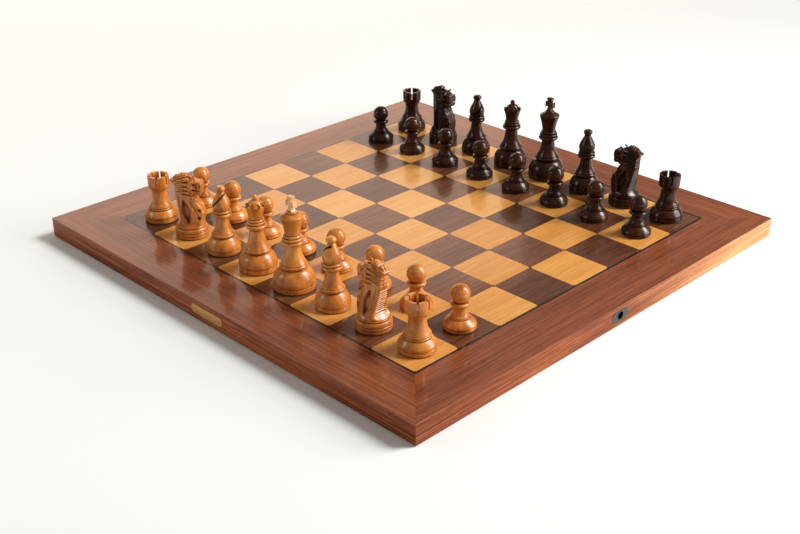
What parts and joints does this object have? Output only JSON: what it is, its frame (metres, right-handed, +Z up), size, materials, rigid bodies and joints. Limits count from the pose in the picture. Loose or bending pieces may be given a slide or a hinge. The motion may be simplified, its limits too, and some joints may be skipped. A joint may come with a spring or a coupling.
{
  "type": "electronic chess computer",
  "caption": "Flat veneered wooden sensor board with corner light windows, a side socket and a full set of loose turned chessmen that lift off their squares.",
  "frame": {"origin": "centre of the board's footprint, on the surface it stands on", "axes": "+Z up; +X along white's first rank from file a to file h; +Y from white's side to black's side"},
  "size_m": [0.5505, 0.5504, 0.117],
  "materials": {
    "walnut": "satin lacquer over straight-grained walnut veneer",
    "walnut_edge": "satin lacquer over solid walnut, lengthwise grain",
    "maple": "satin lacquer over pale maple veneer",
    "black_line": "satin lacquered black stringing",
    "plywood": "raw plywood",
    "base_board": "dark painted hardboard",
    "boxwood": "polished boxwood with lathe rings",
    "pale_boxwood": "polished pale boxwood",
    "ebonised": "polished dark stained wood",
    "light_window": "tinted translucent plastic, flush",
    "led": "moulded LED package",
    "circuit_board": "green solder mask",
    "copper": "enamelled copper wire",
    "chip": "black moulded package",
    "cable": "grey ribbon",
    "black_plastic": "moulded black plastic",
    "gloss_black": "gloss black plate",
    "dark_metal": "black coated metal shell",
    "brass_plate": "satin brass",
    "steel": "zinc plated steel",
    "felt": "dark felt"
  },
  "bodies": {
    "board": {"top_panel": "plywood", "edge_rail_front": "walnut_edge", "edge_rail_right": "walnut_edge", "edge_rail_back": "walnut_edge", "edge_rail_left": "walnut_edge", "border_veneer_front": "walnut", "border_veneer_right": "walnut", "border_veneer_back": "walnut", "border_veneer_left": "walnut", "inlay_line": "black_line", "light_squares": "maple", "dark_squares": "walnut", "light_guides": "light_window", "leds": "led", "sensor_boards": "circuit_board", "sensor_coils": "copper", "controller_board": "circuit_board", "controller_chips": "chip", "ribbon_cable": "cable", "socket_housing": "black_plastic", "socket_plate": "gloss_black", "socket_shell": "dark_metal", "nameplate": "brass_plate", "bottom_panel": "base_board", "base_screws": "steel", "feet": "felt"},
    "black_king_body": {"black_king": "ebonised", "black_king_cross": "ebonised"},
    "white_king_body": {"white_king": "boxwood", "white_king_cross": "pale_boxwood"},
    "black_queen_body": {"black_queen": "ebonised"},
    "white_queen_body": {"white_queen": "boxwood"},
    "black_knight_b8_body": {"black_knight_b8": "ebonised"},
    "black_knight_g8_body": {"black_knight_g8": "ebonised"},
    "white_knight_b1_body": {"white_knight_b1": "boxwood"},
    "white_knight_g1_body": {"white_knight_g1": "boxwood"},
    "black_rook_a8_body": {"black_rook_a8": "ebonised"},
    "black_rook_h8_body": {"black_rook_h8": "ebonised"},
    "white_rook_a1_body": {"white_rook_a1": "boxwood"},
    "white_rook_h1_body": {"white_rook_h1": "boxwood"},
    "black_bishop_c8_body": {"black_bishop_c8": "ebonised"},
    "black_bishop_f8_body": {"black_bishop_f8": "ebonised"},
    "white_bishop_c1_body": {"white_bishop_c1": "boxwood"},
    "white_bishop_f1_body": {"white_bishop_f1": "boxwood"},
    "black_pawn_a7_body": {"black_pawn_a7": "ebonised"},
    "black_pawn_b7_body": {"black_pawn_b7": "ebonised"},
    "black_pawn_c7_body": {"black_pawn_c7": "ebonised"},
    "black_pawn_d7_body": {"black_pawn_d7": "ebonised"},
    "black_pawn_e7_body": {"black_pawn_e7": "ebonised"},
    "black_pawn_f7_body": {"black_pawn_f7": "ebonised"},
    "black_pawn_g7_body": {"black_pawn_g7": "ebonised"},
    "black_pawn_h7_body": {"black_pawn_h7": "ebonised"},
    "white_pawn_a2_body": {"white_pawn_a2": "boxwood"},
    "white_pawn_b2_body": {"white_pawn_b2": "boxwood"},
    "white_pawn_c2_body": {"white_pawn_c2": "boxwood"},
    "white_pawn_d2_body": {"white_pawn_d2": "boxwood"},
    "white_pawn_e2_body": {"white_pawn_e2": "boxwood"},
    "white_pawn_f2_body": {"white_pawn_f2": "boxwood"},
    "white_pawn_g2_body": {"white_pawn_g2": "boxwood"},
    "white_pawn_h2_body": {"white_pawn_h2": "boxwood"}
  },
  "joints": [
    {"name": "black_king_lift", "type": "slide", "parent": "board", "child": "black_king_body", "axis": [0, 0, 1], "range_m": [0, 0.11]},
    {"name": "white_king_lift", "type": "slide", "parent": "board", "child": "white_king_body", "axis": [0, 0, 1], "range_m": [0, 0.11]},
    {"name": "black_queen_lift", "type": "slide", "parent": "board", "child": "black_queen_body", "axis": [0, 0, 1], "range_m": [0, 0.11]},
    {"name": "white_queen_lift", "type": "slide", "parent": "board", "child": "white_queen_body", "axis": [0, 0, 1], "range_m": [0, 0.11]},
    {"name": "black_knight_b8_lift", "type": "slide", "parent": "board", "child": "black_knight_b8_body", "axis": [0, 0, 1], "range_m": [0, 0.11]},
    {"name": "black_knight_g8_lift", "type": "slide", "parent": "board", "child": "black_knight_g8_body", "axis": [0, 0, 1], "range_m": [0, 0.11]},
    {"name": "white_knight_b1_lift", "type": "slide", "parent": "board", "child": "white_knight_b1_body", "axis": [0, 0, 1], "range_m": [0, 0.11]},
    {"name": "white_knight_g1_lift", "type": "slide", "parent": "board", "child": "white_knight_g1_body", "axis": [0, 0, 1], "range_m": [0, 0.11]},
    {"name": "black_rook_a8_lift", "type": "slide", "parent": "board", "child": "black_rook_a8_body", "axis": [0, 0, 1], "range_m": [0, 0.11]},
    {"name": "black_rook_h8_lift", "type": "slide", "parent": "board", "child": "black_rook_h8_body", "axis": [0, 0, 1], "range_m": [0, 0.11]},
    {"name": "white_rook_a1_lift", "type": "slide", "parent": "board", "child": "white_rook_a1_body", "axis": [0, 0, 1], "range_m": [0, 0.11]},
    {"name": "white_rook_h1_lift", "type": "slide", "parent": "board", "child": "white_rook_h1_body", "axis": [0, 0, 1], "range_m": [0, 0.11]},
    {"name": "black_bishop_c8_lift", "type": "slide", "parent": "board", "child": "black_bishop_c8_body", "axis": [0, 0, 1], "range_m": [0, 0.11]},
    {"name": "black_bishop_f8_lift", "type": "slide", "parent": "board", "child": "black_bishop_f8_body", "axis": [0, 0, 1], "range_m": [0, 0.11]},
    {"name": "white_bishop_c1_lift", "type": "slide", "parent": "board", "child": "white_bishop_c1_body", "axis": [0, 0, 1], "range_m": [0, 0.11]},
    {"name": "white_bishop_f1_lift", "type": "slide", "parent": "board", "child": "white_bishop_f1_body", "axis": [0, 0, 1], "range_m": [0, 0.11]},
    {"name": "black_pawn_a7_lift", "type": "slide", "parent": "board", "child": "black_pawn_a7_body", "axis": [0, 0, 1], "range_m": [0, 0.11]},
    {"name": "black_pawn_b7_lift", "type": "slide", "parent": "board", "child": "black_pawn_b7_body", "axis": [0, 0, 1], "range_m": [0, 0.11]},
    {"name": "black_pawn_c7_lift", "type": "slide", "parent": "board", "child": "black_pawn_c7_body", "axis": [0, 0, 1], "range_m": [0, 0.11]},
    {"name": "black_pawn_d7_lift", "type": "slide", "parent": "board", "child": "black_pawn_d7_body", "axis": [0, 0, 1], "range_m": [0, 0.11]},
    {"name": "black_pawn_e7_lift", "type": "slide", "parent": "board", "child": "black_pawn_e7_body", "axis": [0, 0, 1], "range_m": [0, 0.11]},
    {"name": "black_pawn_f7_lift", "type": "slide", "parent": "board", "child": "black_pawn_f7_body", "axis": [0, 0, 1], "range_m": [0, 0.11]},
    {"name": "black_pawn_g7_lift", "type": "slide", "parent": "board", "child": "black_pawn_g7_body", "axis": [0, 0, 1], "range_m": [0, 0.11]},
    {"name": "black_pawn_h7_lift", "type": "slide", "parent": "board", "child": "black_pawn_h7_body", "axis": [0, 0, 1], "range_m": [0, 0.11]},
    {"name": "white_pawn_a2_lift", "type": "slide", "parent": "board", "child": "white_pawn_a2_body", "axis": [0, 0, 1], "range_m": [0, 0.11]},
    {"name": "white_pawn_b2_lift", "type": "slide", "parent": "board", "child": "white_pawn_b2_body", "axis": [0, 0, 1], "range_m": [0, 0.11]},
    {"name": "white_pawn_c2_lift", "type": "slide", "parent": "board", "child": "white_pawn_c2_body", "axis": [0, 0, 1], "range_m": [0, 0.11]},
    {"name": "white_pawn_d2_lift", "type": "slide", "parent": "board", "child": "white_pawn_d2_body", "axis": [0, 0, 1], "range_m": [0, 0.11]},
    {"name": "white_pawn_e2_lift", "type": "slide", "parent": "board", "child": "white_pawn_e2_body", "axis": [0, 0, 1], "range_m": [0, 0.11]},
    {"name": "white_pawn_f2_lift", "type": "slide", "parent": "board", "child": "white_pawn_f2_body", "axis": [0, 0, 1], "range_m": [0, 0.11]},
    {"name": "white_pawn_g2_lift", "type": "slide", "parent": "board", "child": "white_pawn_g2_body", "axis": [0, 0, 1], "range_m": [0, 0.11]},
    {"name": "white_pawn_h2_lift", "type": "slide", "parent": "board", "child": "white_pawn_h2_body", "axis": [0, 0, 1], "range_m": [0, 0.11]}
  ]
}
